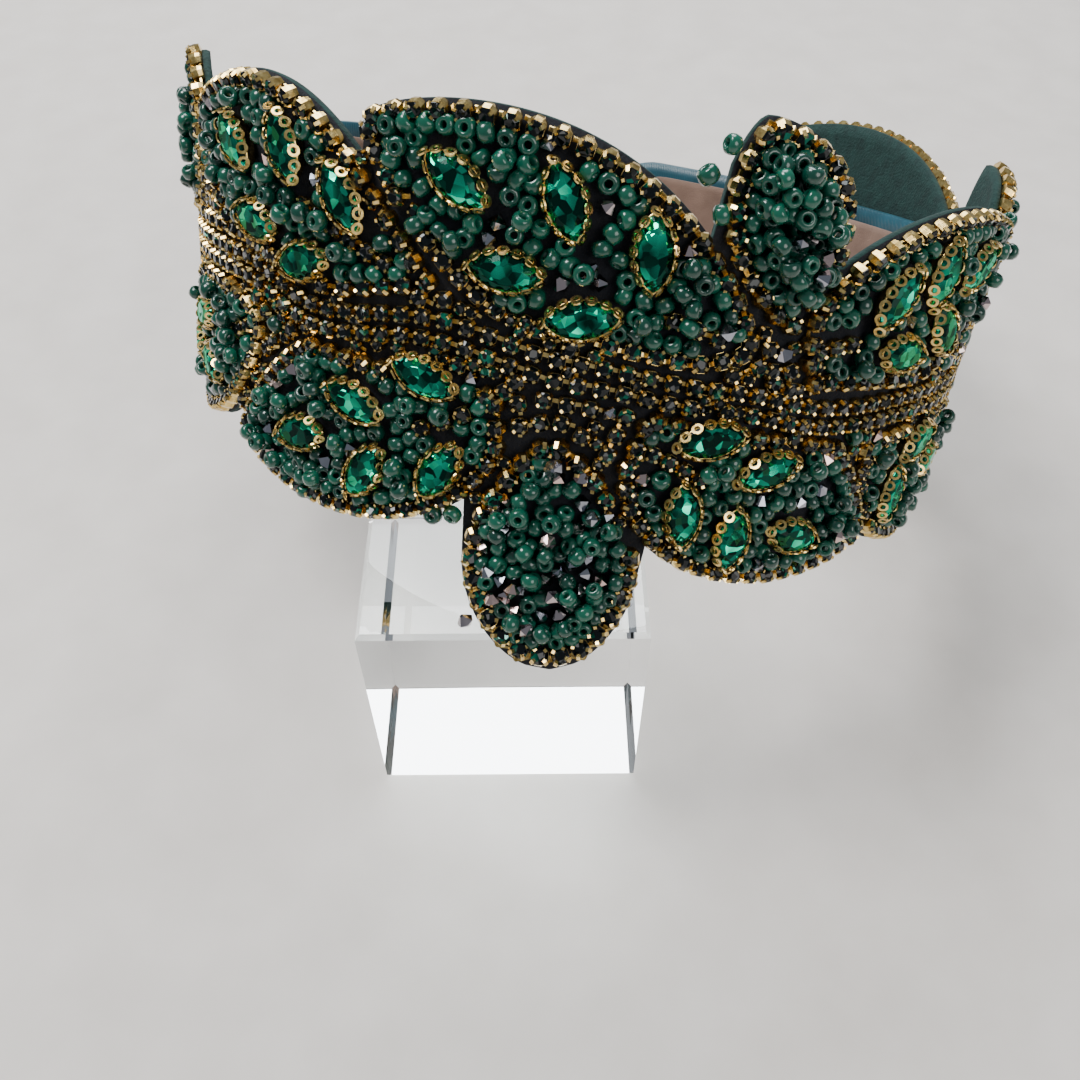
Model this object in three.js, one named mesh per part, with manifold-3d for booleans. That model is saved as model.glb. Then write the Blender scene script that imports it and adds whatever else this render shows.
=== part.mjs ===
// A jewelled C-shaped headband resting on a clear display block.
// Millimetres, +Z up, the origin at the bottom centre of the whole.
import * as THREE from 'three';
import { mergeVertices } from 'three/addons/utils/BufferGeometryUtils.js';
import Module from 'manifold-3d';

const wasm = await Module();
wasm.setup();

const MERGE = 1e-4;             // points closer than this are one

// Display block
const BLOCK_SIDE = 50;
const BLOCK_BEVEL = 0.8;

// How the headband leans on the block: its axis from the block's front left bottom corner,
// tipped back and to the right, and turned about its own axis
const HOOP_X = 41;
const HOOP_Y = 85.8;
const HOOP_Z = 57;
const TIP_BACK = THREE.MathUtils.degToRad(-28.4);
const TIP_RIGHT = THREE.MathUtils.degToRad(8.4);
const TURN = THREE.MathUtils.degToRad(17.5);

// Band wall, measured outwards from the head
const HEAD_RADIUS = 69.5;
const LINING_THICK = 1;
const GAP = 0.3;
const BAND_THICK = 3;
const FELT_THICK = 1.4;
const FELT_RADIUS = HEAD_RADIUS + LINING_THICK + GAP + BAND_THICK + GAP + FELT_THICK;
const FLARE = 0.08;             // growth of the radius for each millimetre up the band
const CURL_START = -30;         // below this the pendant leaf curls out over the block's edge
const CURL_SPAN = 24;
const CURL_OUT = 4.2;
const LAYOUT_RADIUS = 78;       // where distances along the band are measured, at the bead tops
const HALF_ARC = 216;           // from the middle of the front to either tip
const FRONT_HALF_WIDTH = 19;
const BACK_HALF_WIDTH = 24;
const TIP_ROUND = 16;
const BAND_CHAMFER = 1;
const LINING_CHAMFER = 0.25;
const SATIN_SHOWING = 3.2;      // satin left bare round the lining
const FELT_INSET = 1.2;         // satin left bare round the felt, between the leaves
const BAND_STEP = 6;
const FELT_STEP = 3.4;
const FELT_ROWS = [0.58, 0.8, 1];  // points across the felt's lower part, which curls

// Cup chain
const CHAIN_WIDTH = 2.2;
const CHAIN_SIDES = 8;
const CHAIN_STEP = 6.4;
const OUTLINE_POINTS = 12;      // on each side of a leaf
const TIP_BLUNT = 0.75;
const FELT_MARGIN = 1.9;        // felt outside the middle of a leaf's chain
const VINE_HALF_WIDTH = 3.2;
const VINE_HEIGHT = 2.4;
const VINE_END = 186;
const VINE_TAPER = 24;
const VINE_STEP = 7;
const VINE_SHOULDER = 0.7;
const VINE_END_SHARE = 0.4;     // the vine's width at its ends, as a share of the full width
// the middle of the vine: distance along the band, distance up from its middle
const VINE_LINE = [
  [-187, 0], [-120, 3], [-92, 3.2], [-72, -1.2], [-50, 1.4], [-28, -1.6], [-4, -3.2], [16, -5.4],
  [46, -3.8], [90, 0], [187, 0],
];

// Marquise stone in its setting
const STONE_LENGTH = 12.4;
const STONE_WIDTH = 6.6;
const STONE_POINTS = 10;
const STONE_FULLNESS = 1.5;     // power that makes the outline's ends pointed
// height above the felt, and the outline's share of the full size there
const STONE_RINGS = [
  { height: 0.3, size: 0.66 },
  { height: 2.75, size: 1.0 },
  { height: 3.4, size: 0.96 },
  { height: 4.6, size: 0.52 },
];

// Leaves. Points are [along the band, up from its middle]. Outer and inner are the half widths
// towards the band's edge and towards the vine; belly is where the leaf is widest, as a share
// of its length; blunt is how full its root is, and tipBlunt its tip where that isn't TIP_BLUNT.
// A stone has a turn in degrees as well.
const LEAVES = [
  {
    name: 'upper_left', root: [-51, 7.5], tip: [-110, 25], outer: 13.6, inner: 13, belly: 0.55,
    blunt: 0.95, vein: [[-51, 7.5], [-60, 9.6], [-70, 13.4], [-77, 15.6]],
    stones: [[-92.7, 22.5, -42], [-78.8, 23.4, -66], [-66.8, 17.9, -55], [-86.4, 11.2, -12],
      [-74.6, 7, 15]],
  },
  {
    name: 'centre_upper', root: [-2, 5], tip: [-63, 29], outer: 12.4, inner: 13.2, belly: 0.5,
    blunt: 0.72, vein: [[-2, 5], [-10, 7], [-16.5, 8.6]],
    stones: [[-48.2, 23.3, -32], [-32.7, 22.7, -66], [-39.9, 12, -1], [-28.2, 6.9, 12],
      [-19.7, 17.6, -81]],
  },
  {
    name: 'upper_right', root: [9, 5], tip: [65, 23.5], outer: 12.4, inner: 12.8, belly: 0.4,
    blunt: 0.5, vein: [[9, 5], [14, 6.3], [18.5, 7]],
    stones: [[22.8, 14.6, 61], [33, 18.6, 85], [45.4, 19.6, 40], [39.6, 9.2, -47],
      [28.5, 5.6, -3]],
  },
  {
    name: 'lower_left', root: [-40, -7], tip: [-94, -26], outer: 16.4, inner: 13, belly: 0.38,
    blunt: 0.5, vein: [[-40, -7], [-44, -10.6], [-48, -13], [-53, -15.4]],
    stones: [[-63.4, -12.8, -17], [-51, -6, -15], [-75.3, -21.3, 15], [-61, -24, 58],
      [-47.4, -20.6, 60]],
  },
  {
    name: 'lower_right', root: [-15, -7], tip: [35, -28], outer: 17.8, inner: 12.4, belly: 0.36,
    blunt: 0.5, vein: [[-15.3, -12], [-9.5, -14.2], [-3.5, -16.8]],
    stones: [[-5, -9.2, 13], [6.4, -14, 20], [-6.8, -22.2, -80], [3, -26.2, -87],
      [15.7, -26, -14]],
  },
  {
    name: 'far_left', root: [-88, -6], tip: [-144, -24], outer: 12.5, inner: 12, belly: 0.48,
    blunt: 0.75, vein: [[-88, -6], [-94, -8], [-100, -11]],
    stones: [[-112, -9.4, 14], [-108.5, -17.8, -20], [-126, -17.4, -15]],
  },
  {
    name: 'far_right', root: [29.5, -10.4], tip: [82, -24], outer: 15, inner: 13, belly: 0.42,
    blunt: 0.85, vein: [[29.5, -10.4], [33, -12.4], [36.5, -14.6]],
    stones: [[46.5, -11.6, 24], [42.4, -21.2, -80], [60, -17.6, 10]],
  },
  {
    name: 'back_left', root: [-135, 7.6], tip: [-186, 26], outer: 14, inner: 12, belly: 0.42,
    blunt: 0.5, vein: [[-135, 7.6], [-141, 9.6], [-146, 12]],
    stones: [[-153, 18, -35], [-167, 17.4, -20]],
  },
  {
    name: 'back_right', root: [96, 6], tip: [171, 34.3], outer: 15.6, inner: 14, belly: 0.5,
    blunt: 0.5, vein: [[96, 6], [103, 9.6], [108, 13]],
    stones: [[118, 22, 50], [122, 11, 12], [139, 26, 30]],
  },
  {
    name: 'back_left_lower', root: [-146, -7], tip: [-186, -19], outer: 9, inner: 9,
    belly: 0.45, blunt: 0.5, vein: [[-146, -7], [-151, -8.6], [-156, -10.4]],
    stones: [[-168, -13.6, -18]],
  },
  {
    name: 'back_right_lower', root: [88, -7], tip: [138, -23], outer: 9.5, inner: 10,
    belly: 0.45, blunt: 0.5, vein: [[88, -7], [95, -9.4], [103, -12]],
    stones: [[119, -17, -18]],
  },
  {
    name: 'pendant', root: [-30, -13], tip: [-24.6, -50.4], outer: 14, inner: 13.8, belly: 0.56,
    blunt: 0.6, tipBlunt: 0.5, stones: [],
  },
  {
    name: 'bud_top', root: [5.5, 9.5], tip: [-6.5, 35.5], outer: 9.2, inner: 7.4,
    belly: 0.55, blunt: 0.5, stones: [],
  },
  {
    name: 'bud_left', root: [-121, 9], tip: [-127, 34], outer: 9, inner: 9, belly: 0.5,
    blunt: 0.5, stones: [],
  },
  {
    name: 'bud_right', root: [82.5, 9], tip: [95, 34.5], outer: 9, inner: 9, belly: 0.5,
    blunt: 0.5, stones: [],
  },
];

const COLOURS = {
  clear: { color: 0xe8f1f4, roughness: 0.03, metalness: 0 },
  satin: { color: 0x2c6f78, roughness: 0.35, metalness: 0 },
  suede: { color: 0x8c6a5b, roughness: 0.9, metalness: 0 },
  felt: { color: 0x17302f, roughness: 0.95, metalness: 0 },
  chain: { color: 0xb08a3a, roughness: 0.3, metalness: 0.9 },
  stone: { color: 0x00694f, roughness: 0.05, metalness: 0.1 },
};

// A point of the headband in its own frame: along the band, up from its middle, and out
// from the felt
function place(along, up, out) {
  const angle = along / LAYOUT_RADIUS;
  const curl = CURL_OUT * (Math.max(CURL_START - up, 0) / CURL_SPAN) ** 2;
  const radius = FELT_RADIUS + FLARE * up + curl + out;
  return new THREE.Vector3(radius * Math.sin(angle), -radius * Math.cos(angle), up);
}

// A closed body lofted through rings of points, its ends closed by fans
function loft(rings) {
  const count = rings[0].length;
  const positions = rings.flat().flatMap((point) => point.toArray());
  const index = [];
  for (let ring = 0; ring < rings.length - 1; ring++) {
    for (let i = 0; i < count; i++) {
      const a = ring * count + i;
      const b = ring * count + (i + 1) % count;
      index.push(a, b, b + count, a, b + count, a + count);
    }
  }
  const last = (rings.length - 1) * count;
  for (let i = 1; i < count - 1; i++) {
    index.push(0, i + 1, i);
    index.push(last, last + i, last + i + 1);
  }
  const geometry = new THREE.BufferGeometry();
  geometry.setAttribute('position', new THREE.Float32BufferAttribute(positions, 3));
  geometry.setIndex(index);
  return geometry;
}

function toManifold(geometry) {
  const bare = new THREE.BufferGeometry();
  bare.setAttribute('position', geometry.getAttribute('position'));
  bare.setIndex(geometry.getIndex());
  const merged = mergeVertices(bare, MERGE);
  return new wasm.Manifold(new wasm.Mesh({
    numProp: 3,
    vertProperties: new Float32Array(merged.getAttribute('position').array),
    triVerts: new Uint32Array(merged.getIndex().array),
  }));
}

function fuse(geometries) {
  const solid = geometries.map(toManifold).reduce((whole, next) => whole.add(next));
  const mesh = solid.getMesh();
  const geometry = new THREE.BufferGeometry();
  geometry.setAttribute('position', new THREE.Float32BufferAttribute(mesh.vertProperties, 3));
  geometry.setIndex([...mesh.triVerts]);
  return geometry;
}

// Half the band's width at a distance along it, with rounded corners at the tips
function bandHalfWidth(along, inset) {
  const turned = (1 - Math.cos(along / LAYOUT_RADIUS)) / 2;
  const full = FRONT_HALF_WIDTH + (BACK_HALF_WIDTH - FRONT_HALF_WIDTH) * turned;
  const fromTip = HALF_ARC - inset - Math.abs(along);
  const short = Math.max(TIP_ROUND - fromTip, 0);
  return full - inset - TIP_ROUND + Math.sqrt(TIP_ROUND ** 2 - short ** 2);
}

function bandStations(inset, step) {
  const end = HALF_ARC - inset;
  const count = Math.round(2 * end / step);
  return Array.from({ length: count + 1 }, (_, i) => -end + 2 * end * i / count);
}

// A wall round the band between two depths under the felt's outer face
function bandWall(inset, innerOut, outerOut, chamfer) {
  return loft(bandStations(inset, BAND_STEP).map((along) => {
    const half = bandHalfWidth(along, inset);
    const section = [
      [innerOut, half - chamfer], [innerOut + chamfer, half], [outerOut - chamfer, half],
      [outerOut, half - chamfer], [outerOut, chamfer - half], [outerOut - chamfer, -half],
      [innerOut + chamfer, -half], [innerOut, chamfer - half],
    ];
    return section.map(([out, up]) => place(along, up, out));
  }));
}

function vineMiddle(along) {
  const next = Math.max(VINE_LINE.findIndex(([x]) => x > along), 1);
  const [[x0, y0], [x1, y1]] = [VINE_LINE[next - 1], VINE_LINE[next]];
  return y0 + (y1 - y0) * THREE.MathUtils.smoothstep(along, x0, x1);
}

// How far from the band's middle a chain beside the vine starts
function shore(along, above) {
  return above * vineMiddle(along) + VINE_HALF_WIDTH + 2 * GAP + CHAIN_WIDTH / 2;
}

// Points round a leaf, grown outwards: from its root along the outer side to the tip, and back
// along the inner side
function leafOutline(leaf, count, grow) {
  const root = new THREE.Vector2(...leaf.root);
  const spine = new THREE.Vector2(...leaf.tip).sub(root);
  const length = spine.length() + 2 * grow;
  spine.normalize();
  const above = Math.sign(leaf.root[1]);
  const outward = new THREE.Vector2(-spine.y, spine.x);
  if (outward.y * above < 0) {
    outward.negate();
  }
  const power = Math.log(0.5) / Math.log(leaf.belly);
  const side = (width) => Array.from({ length: count + 1 }, (_, i) => {
    const share = i / count;
    const blunt = THREE.MathUtils.lerp(leaf.blunt, leaf.tipBlunt ?? TIP_BLUNT, share);
    const swell = Math.max(Math.sin(Math.PI * share ** power), 0) ** blunt;
    const wide = (Math.abs(width) + grow) * swell;
    const point = root.clone()
      .addScaledVector(spine, share * length - grow)
      .addScaledVector(outward, Math.sign(width) * wide);
    point.y = above * Math.max(above * point.y, shore(point.x, above) - grow);
    return point;
  });
  return { outer: side(leaf.outer), inner: side(-leaf.inner).reverse() };
}

function tube(points) {
  const path = new THREE.CatmullRomCurve3(points, false, 'centripetal');
  const ring = Array.from({ length: CHAIN_SIDES }, (_, i) => {
    const angle = 2 * Math.PI * (i + 0.5) / CHAIN_SIDES;
    return new THREE.Vector2(Math.cos(angle), Math.sin(angle)).multiplyScalar(CHAIN_WIDTH / 2);
  });
  return new THREE.ExtrudeGeometry(new THREE.Shape(ring), {
    steps: Math.max(2, Math.round(path.getLength() / CHAIN_STEP)),
    extrudePath: path,
  });
}

function onFelt(point) {
  return place(point.x, point.y, GAP + CHAIN_WIDTH / 2);
}

// The chain round a leaf: on the inner side it ends where it meets the vine
function leafChain(leaf) {
  const { outer, inner } = leafOutline(leaf, OUTLINE_POINTS, 0);
  const above = Math.sign(leaf.root[1]);
  const landing = inner.findIndex(
    (point) => above * point.y - shore(point.x, above) < MERGE);
  const ashore = landing < 0 ? inner : inner.slice(0, landing + 1);
  const runs = [outer, ashore];
  if (leaf.vein) {
    runs.push(leaf.vein.map((point) => new THREE.Vector2(...point)));
  }
  return fuse(runs.map((run) => tube(run.map(onFelt))));
}

// The felt's edge above or below the middle of the band: the leaves' edges, or the band's own
function feltEdge(along, above) {
  let edge = bandHalfWidth(along, FELT_INSET);
  for (const points of FELT_LEAVES) {
    for (let i = 1; i < points.length; i++) {
      const [p, q] = [points[i - 1], points[i]];
      if ((p.x - along) * (q.x - along) <= 0 && p.x !== q.x) {
        const share = (along - p.x) / (q.x - p.x);
        edge = Math.max(edge, above * (p.y + (q.y - p.y) * share));
      }
    }
  }
  return above * edge;
}

const FELT_LEAVES = LEAVES.map((leaf) => {
  const { outer, inner } = leafOutline(leaf, 2 * OUTLINE_POINTS, FELT_MARGIN);
  return [...outer, ...inner];
});

function felt() {
  return loft(bandStations(FELT_INSET, FELT_STEP).map((along) => {
    const bottom = feltEdge(along, -1);
    const rows = [feltEdge(along, 1), ...FELT_ROWS.map((share) => share * bottom)];
    return [
      ...rows.map((up) => place(along, up, 0)),
      ...rows.reverse().map((up) => place(along, up, -FELT_THICK)),
    ];
  }));
}

function vine() {
  const count = Math.round(2 * VINE_END / VINE_STEP);
  const rings = [];
  for (let i = 0; i <= count; i++) {
    const along = -VINE_END + 2 * VINE_END * i / count;
    const fromEnd = Math.min((VINE_END - Math.abs(along)) / VINE_TAPER, 1);
    const share = THREE.MathUtils.lerp(VINE_END_SHARE, 1, Math.sqrt(fromEnd));
    const half = VINE_HALF_WIDTH * share;
    const middle = vineMiddle(along);
    rings.push([
      [-half, GAP], [half, GAP], [half, VINE_HEIGHT - VINE_SHOULDER],
      [half - VINE_SHOULDER, VINE_HEIGHT], [VINE_SHOULDER - half, VINE_HEIGHT],
      [-half, VINE_HEIGHT - VINE_SHOULDER],
    ].map(([up, out]) => place(along, middle + up, out)));
  }
  return loft(rings);
}

// A pointed oval: two arcs that meet at the ends
function stoneGeometry() {
  return loft(STONE_RINGS.map(({ height, size }) => (
    Array.from({ length: STONE_POINTS }, (_, i) => {
      const angle = 2 * Math.PI * i / STONE_POINTS;
      const lengthwise = Math.cos(angle);
      const across = Math.sign(Math.sin(angle)) * Math.abs(Math.sin(angle)) ** STONE_FULLNESS;
      return new THREE.Vector3(
        lengthwise * STONE_LENGTH / 2 * size, across * STONE_WIDTH / 2 * size, height);
    })
  )));
}

function material(look) {
  return new THREE.MeshStandardMaterial(COLOURS[look]);
}

function piece(name, geometry, look) {
  const mesh = new THREE.Mesh(geometry, material(look));
  mesh.name = name;
  return mesh;
}

function stoneMesh(name, along, up, turn) {
  const mesh = piece(name, stoneGeometry(), 'stone');
  const angle = along / LAYOUT_RADIUS;
  const alongBand = new THREE.Vector3(Math.cos(angle), Math.sin(angle), 0);
  const upBand = new THREE.Vector3(FLARE * Math.sin(angle), -FLARE * Math.cos(angle), 1).normalize();
  const outOfBand = new THREE.Vector3().crossVectors(alongBand, upBand);
  mesh.quaternion.setFromRotationMatrix(
    new THREE.Matrix4().makeBasis(alongBand, upBand, outOfBand));
  mesh.rotateZ(THREE.MathUtils.degToRad(turn));
  mesh.position.copy(place(along, up, 0));
  return mesh;
}

function displayBlock() {
  const inner = BLOCK_SIDE / 2 - BLOCK_BEVEL;
  const square = new THREE.Shape([
    new THREE.Vector2(-inner, -inner), new THREE.Vector2(inner, -inner),
    new THREE.Vector2(inner, inner), new THREE.Vector2(-inner, inner),
  ]);
  const geometry = new THREE.ExtrudeGeometry(square, {
    depth: BLOCK_SIDE - 2 * BLOCK_BEVEL,
    bevelThickness: BLOCK_BEVEL,
    bevelSize: BLOCK_BEVEL,
    bevelSegments: 1,
  });
  geometry.translate(BLOCK_SIDE / 2, BLOCK_SIDE / 2, BLOCK_BEVEL);
  return piece('display_block', geometry, 'clear');
}

function headband() {
  const liningInner = HEAD_RADIUS - FELT_RADIUS;
  const bandInner = liningInner + LINING_THICK + GAP;
  const group = new THREE.Group();
  group.add(piece('band', bandWall(0, bandInner, bandInner + BAND_THICK, BAND_CHAMFER), 'satin'));
  group.add(piece('lining',
    bandWall(SATIN_SHOWING, liningInner, liningInner + LINING_THICK, LINING_CHAMFER), 'suede'));
  group.add(piece('felt_backing', felt(), 'felt'));
  group.add(piece('vine_chain', vine(), 'chain'));
  for (const leaf of LEAVES) {
    group.add(piece(`chain_${leaf.name}`, leafChain(leaf), 'chain'));
    leaf.stones.forEach(([along, up, turn], i) => {
      group.add(stoneMesh(`stone_${leaf.name}_${i + 1}`, along, up, turn));
    });
  }
  group.rotation.set(TIP_BACK, TIP_RIGHT, TURN, 'XYZ');
  group.position.set(HOOP_X, HOOP_Y, HOOP_Z);
  return group;
}

const model = new THREE.Group();
model.add(displayBlock(), headband());
model.updateMatrixWorld(true);
const middle = new THREE.Box3().setFromObject(model, true).getCenter(new THREE.Vector3());
model.position.set(-middle.x, -middle.y, 0);

export default model;
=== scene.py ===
"""A jewelled C-shaped headband that leans on a clear display block, dressed over its solids.

Layout sizes are millimetres, as on the band laid flat: along it from the middle of the front,
up from its middle line, and out from the felt. place() turns them into the model's metres.
"""
import math
from functools import partial
from itertools import groupby
from random import Random
from typing import NamedTuple

import bpy
from mathutils import Matrix, Vector


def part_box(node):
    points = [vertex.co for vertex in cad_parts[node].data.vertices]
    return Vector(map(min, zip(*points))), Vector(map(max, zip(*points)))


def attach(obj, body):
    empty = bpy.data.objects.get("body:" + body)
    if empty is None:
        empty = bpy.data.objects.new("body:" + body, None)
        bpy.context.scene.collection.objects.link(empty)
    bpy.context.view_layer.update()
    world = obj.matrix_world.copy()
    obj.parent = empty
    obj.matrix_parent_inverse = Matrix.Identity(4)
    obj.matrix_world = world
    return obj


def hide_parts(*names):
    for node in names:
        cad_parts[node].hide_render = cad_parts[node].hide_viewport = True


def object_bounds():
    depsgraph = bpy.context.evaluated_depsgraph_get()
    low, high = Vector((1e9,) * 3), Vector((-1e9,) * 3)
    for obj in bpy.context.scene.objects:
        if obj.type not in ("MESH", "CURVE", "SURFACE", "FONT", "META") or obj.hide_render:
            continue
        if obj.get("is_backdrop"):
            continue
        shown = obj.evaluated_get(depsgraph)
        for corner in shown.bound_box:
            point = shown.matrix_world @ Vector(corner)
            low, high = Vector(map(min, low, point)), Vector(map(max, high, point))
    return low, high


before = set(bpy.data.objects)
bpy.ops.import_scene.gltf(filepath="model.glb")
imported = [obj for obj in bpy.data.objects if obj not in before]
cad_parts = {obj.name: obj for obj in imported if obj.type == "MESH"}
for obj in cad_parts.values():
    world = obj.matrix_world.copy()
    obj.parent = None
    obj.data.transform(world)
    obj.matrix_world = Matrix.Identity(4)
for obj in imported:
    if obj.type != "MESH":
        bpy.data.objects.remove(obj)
solid_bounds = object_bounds()

MM = 0.001
SEED = 7
LEAST_LENGTH = 1e-6             # keeps a share finite where two points fall together
ASIDE = 0.5                     # how far a direction on the band is looked up from its place

# The hoop on the block, as the solids have it
HOOP_FROM_BLOCK = Vector((41, 85.8, 57))
TIP_BACK = math.radians(-28.4)
TIP_RIGHT = math.radians(8.4)
TURN = math.radians(17.5)

# Band, lining and felt
HEAD_RADIUS = 69.5
LINING_THICK = 1
BAND_THICK = 3
FELT_THICK = 1.4
GAP = 0.3
FELT_RADIUS = HEAD_RADIUS + LINING_THICK + GAP + BAND_THICK + GAP + FELT_THICK
BAND_OUTER = -(FELT_THICK + GAP)
BAND_INNER = BAND_OUTER - BAND_THICK
LINING_OUTER = BAND_INNER - GAP
LINING_INNER = LINING_OUTER - LINING_THICK
LAYOUT_RADIUS = 78              # where distances along the band are measured
FLARE = 0.08                    # growth of the radius for each millimetre up
CURL_START = -30                # below this the pendant leaf curls out
CURL_SPAN = 24
CURL_OUT = 4.2
HALF_ARC = 216                  # from the middle of the front to either tip
FRONT_HALF_WIDTH = 19
BACK_HALF_WIDTH = 24
TIP_ROUND = 16
BAND_EDGE = 1.2                 # how far its rounded edges reach in
LINING_EDGE = 0.4
LINING_INSET = 3.2              # satin left bare round the lining
WALL_STEP = 2.0
WALL_POINTS = 28
FACE_START = 0.75               # sine of the angle where a wall's round edge meets its face
EDGE_POWER = 0.6
FELT_INSET = 1.2                # satin left bare round the felt, between the leaves
FELT_MARGIN = 1.9               # felt outside the middle of a leaf's chain
BACK_FELT_MARGIN = 0.7
FELT_STEP = 0.7
FELT_ROWS = 22
FELT_BULGE = 0.15

# Cup chain: widths of the cups, heights of their rims above the felt, and pitches
CUP = 2.8
CUP_RIM = 1.6
CUP_PITCH = 3.6
ROW_PITCH = 3.1
EDGE_RIM = 2.0                  # the cups at a leaf's edge stand higher
EDGE_LEAN = math.radians(24)    # how far they lean in over the leaf
EDGE_OUT = 0.9                  # how far they stand outside the leaf's line
TINY = 2.1
TINY_RIM = 1.3
BIG_CUP = 3.3
BIG_RIM = 1.9
BIG_PITCH = 3.8
BIG_OUT = 0.2                   # the same for the big cups, round the pendant leaf
CUP_SIDES = 8
CUP_FOOT = 0.85                 # share of the cup's half width
CUP_FOOT_HEIGHT = 0.05
CUP_SHOULDER = 0.4              # share of the rim's height
# The cup's stone: share of the cup's half width, and rise above its rim by its width
CUT_RINGS = [(0.97, 0), (0.97, 0.06), (0.56, 0.22)]
PRONG = 0.1                     # half thickness, by the cup's width
PRONG_LENGTH = 0.34
PRONG_SUNK = 0.3                # how far below the rim it starts
PRONG_LEAN = 0.42               # radians
PRONG_TOP = 0.9                 # share of its foot's size
LINK = (0.18, 0.12, 0.12)       # half length, half width and height, by the cup's width
LINK_AT = 1.15                  # share of the cup's half width
LINK_HEIGHT = 0.3
CUP_NEEDS = 0.35                # radius of free felt that it needs, by the chain's pitch
CUP_TAKES = 0.4
CUP_TURN = 0.12                 # the most that a cup is turned and lifted at random
CUP_LIFT = 0.25
WIRE = 0.4
WIRE_OUT = 1.2
WIRE_HEIGHT = 1.2
VINE_HALF_WIDTH = 3.2
VINE_END = 186
VINE_ROWS = (-1.6, 1.6)
VINE_STEPS = 124
VINE_TAPER = 24
VINE_END_SHARE = 0.25           # how far apart its rows are at its ends, by the full distance
SHORE = 1.7                     # from the vine's edge to the middle of the next chain
OFF_SHORE = 0.05                # past this a leaf's side has left the vine
# The middle of the vine: distance along the band, distance up from its middle
VINE_LINE = [
    (-187, 0), (-120, 3), (-92, 3.2), (-72, -1.2), (-50, 1.4), (-28, -1.6), (-4, -3.2),
    (16, -5.4), (46, -3.8), (90, 0), (187, 0),
]

# Marquise stones
STONE_LENGTH = 12.4
STONE_WIDTH = 6.6
STONE_POINTS = 16
STONE_FULLNESS = 1.45           # power that makes the outline's ends pointed
# Height above the felt, and share of the full size
SETTING_RINGS = [(0.2, 0.62), (1.0, 0.8), (2.1, 0.92), (2.7, 0.93), (2.7, 0.87), (2.2, 0.86)]
# Height, share of the full size, and turn in steps of a point
STONE_RINGS = [(1.2, 0.5, 0), (2.5, 0.87, 0), (2.8, 0.87, 0), (3.5, 0.73, 0.5), (4.0, 0.52, 0.5)]
STAR_ROW = 2                    # the row of facets where the turn begins
LOOP_PITCH = 2.12
LOOP_OUTER = 0.94
LOOP_HOLE = 0.5
LOOP_THICK = 0.13
LOOP_SIDES = 12
LOOP_AT = 0.95                  # share of the stone's full size
LOOP_HEIGHT = 3.15
LOOP_LEAN = math.radians(27)
# How much of the felt a stone covers: circles by their place along the stone and radius
STONE_COVER = [(-4.6, 1.5), (-2.6, 2.6), (0, 3.25), (2.6, 2.6), (4.6, 1.5)]

# Beads and crystals
BEAD = 3.1
BEAD_HALF_HEIGHT = 0.37 * BEAD
BEAD_HOLE = 0.18 * BEAD
BEAD_SIDES = 12
BEAD_HEIGHT = 1.4               # of its middle above the felt
BEAD_LIFT = (-0.2, 0.35)        # random, as are the next two
BEAD_SCALE = (0.92, 1.06)
BEAD_LEAN = (0.9, 1.57)
BEAD_NOD = 0.25                 # lean of a bead whose hole shows
HOLES_SHOWN = 0.24              # share of the beads, and of the crystals that stand upright
CRYSTALS_UPRIGHT = 0.1
CRYSTAL_RADIUS = 1.42
CRYSTAL_POINT = 0.3
CRYSTAL_HALF_HEIGHT = 1.25
CRYSTAL_SIDES = 7
BEAD_ROOM = 0.4 * BEAD          # radius that a laid bead takes up
FIRST_ROW = 2.35                # from a leaf's edge to its first row of beads
BEAD_PITCH = 0.97 * BEAD
BEAD_ROW_PITCH = 0.86 * BEAD
LEAF_INSET = 1.0
LAYER = 0.66 * BEAD             # height of a layer of beads
LAYER_INSET = 1.5
STONE_CLEARANCE = 0.8
CRYSTAL_SHARE = 0.08
PENDANT_CRYSTAL_SHARE = 0.24
GAP_CRYSTAL_SHARE = 0.4
BEAD_SUNK = 0.4                 # how much lower the beads strewn between the rows lie
# Radius of free felt that a bead needs, by its size: in rows, strewn between them, loose
ROW_CLOSENESS = 0.36
LEAF_CLOSENESS = 0.29
LOOSE_CLOSENESS = 0.42
# Tries at laying a bead: in the gaps, in each leaf, and for each further layer on it
GAP_TRIES = 420
LEAF_TRIES = 900
LAYER_TRIES = (60,)
HEAP_TRIES = {"bud_top": (900, 900)}

# What fills the gaps between the leaves
GAP_BOUNDS = ((-190, 190), (-26, 26))
GAP_MARGIN = 2                  # bare felt at its edge, for beads and single cups
FILLER_MARGIN = 2.6             # and for lengths of chain
SHORTEST_RUN = 3
LEAF_LINE_POINTS = 34           # of a leaf's side, from its root, that a chain outside it follows
PENDANT_LINE_POINTS = 24
PENDANT_LINES = (5.4, 8.4)      # how far outside the pendant leaf its further rows run
SHORE_REACHES = (188, 60, 60)   # how far the rows beside the vine run, along the band
SHORE_STEP = 2
FILLER_ROOM = 0.38 * CUP        # radius of free felt that a single cup needs
TINY_ROOM = 0.34 * TINY
FILLER_TRIES = 9000
FILLER_LIFT = 0.1
FILLER_TURN = 0.7               # the most that it is turned at random

# Beads that hang loose at the edges, along and up
LOOSE_BEADS = [
    (-11.8, 33), (-14.2, 28.7), (-11.2, 23.7), (66.7, 26.5), (-48.1, -28.9), (-44.7, -28.1),
    (-80.4, -30.1), (-75.6, -32.3),
]
LOOSE_CRYSTAL = (-40.1, -45.9)

LEAF_POINTS = 48
TIP_BLUNT = 0.75


class Leaf(NamedTuple):
    """A leaf of the layout, its vein of chain and its stones."""

    root: tuple
    tip: tuple
    outer: float                # half width on the side away from the vine
    inner: float
    belly: float                # where it is widest, as a share of its length
    fullness: float             # power of its arch at the root: the smaller, the fuller
    vein: list
    stones: list                # along, up and turn in degrees
    blunt: float = TIP_BLUNT    # the same power at the tip


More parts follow.
